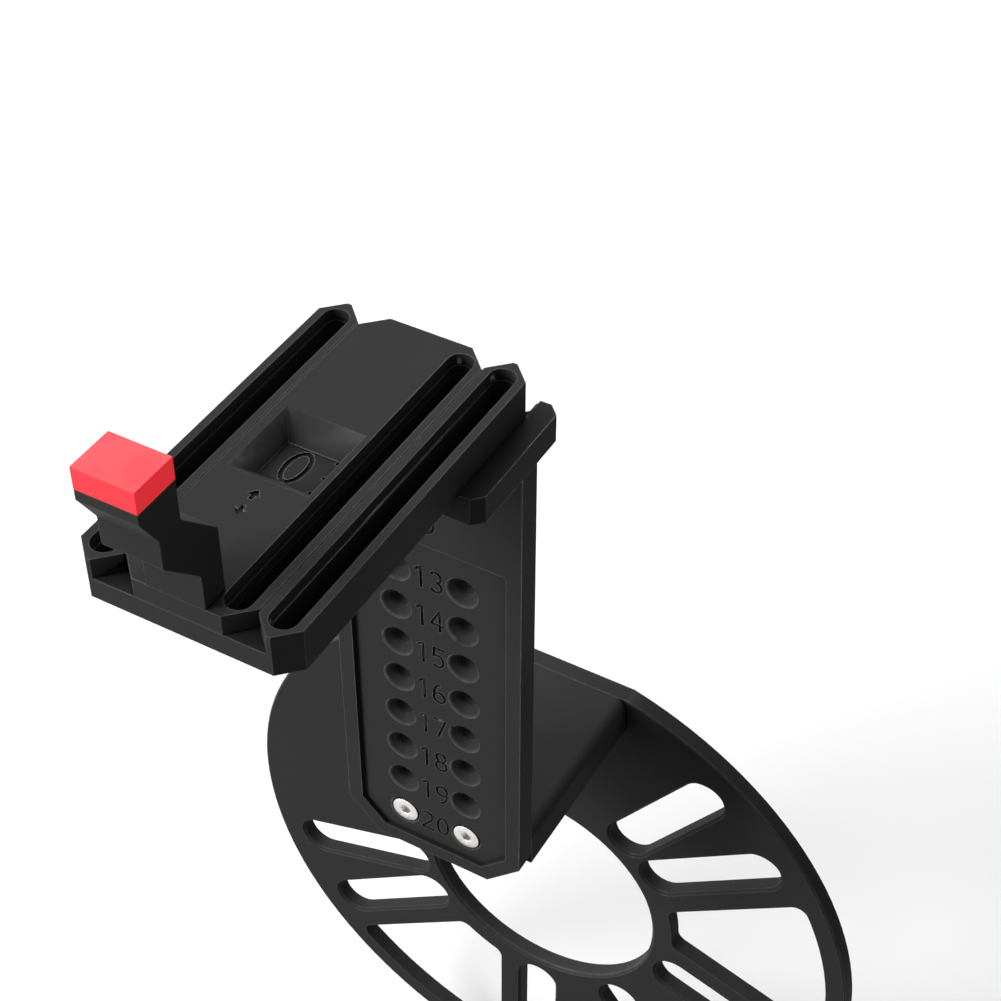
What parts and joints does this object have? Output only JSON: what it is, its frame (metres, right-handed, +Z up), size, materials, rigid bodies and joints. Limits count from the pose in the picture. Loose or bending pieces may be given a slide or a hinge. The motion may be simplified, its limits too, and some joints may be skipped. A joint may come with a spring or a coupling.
{
  "type": "wheel fitment offset gauge",
  "caption": "Hub-mounted gauge with an upright arm set by wheel diameter, a sliding width carriage, an offset slide with a scale and a red tip at the rim lip.",
  "frame": {"origin": "centre of the hub bore on the plate's seat face, where it meets the vehicle's hub", "axes": "+Y along the hub axis towards the vehicle, +Z up along the arm, +X to the right seen from the street side"},
  "size_m": [0.201, 0.1643, 0.3903],
  "materials": {
    "black_plastic": "fine matte black moulding",
    "dark_plastic": "plain matte black",
    "screw_steel": "bright zinc plate",
    "spring_steel": "plain spring steel",
    "insert_brass": "turned brass",
    "red_plastic": "satin red moulding"
  },
  "bodies": {
    "hub_and_arm": {"hub_plate": "black_plastic", "standoff_block": "black_plastic", "standoff_screws": "screw_steel", "standoff_inserts": "insert_brass", "arm": "black_plastic", "arm_inserts": "insert_brass", "carriage_spring": "spring_steel", "width_stop_pin": "screw_steel"},
    "width_carriage": {"carriage": "black_plastic", "guide_key": "dark_plastic", "key_screws": "screw_steel", "offset_scale": "dark_plastic", "offset_stop_pin": "screw_steel"},
    "lip_slide": {"offset_slide": "black_plastic", "slide_spring": "spring_steel", "lip_post": "black_plastic", "post_screws": "screw_steel", "tip_cap": "red_plastic"},
    "left_screw": {"left_arm_screw": "screw_steel"},
    "right_screw": {"right_arm_screw": "screw_steel"}
  },
  "joints": [
    {"name": "width_travel", "type": "slide", "parent": "hub_and_arm", "child": "width_carriage", "axis": [0, 1, 0], "range_m": [0, 0.0508]},
    {"name": "offset_travel", "type": "slide", "parent": "width_carriage", "child": "lip_slide", "axis": [0, 1, 0], "range_m": [-0.025, 0.045]},
    {"name": "left_screw_draw", "type": "slide", "parent": "hub_and_arm", "child": "left_screw", "axis": [0, -1, 0], "range_m": [0, 0.018]},
    {"name": "right_screw_draw", "type": "slide", "parent": "hub_and_arm", "child": "right_screw", "axis": [0, -1, 0], "range_m": [0, 0.018]}
  ]
}
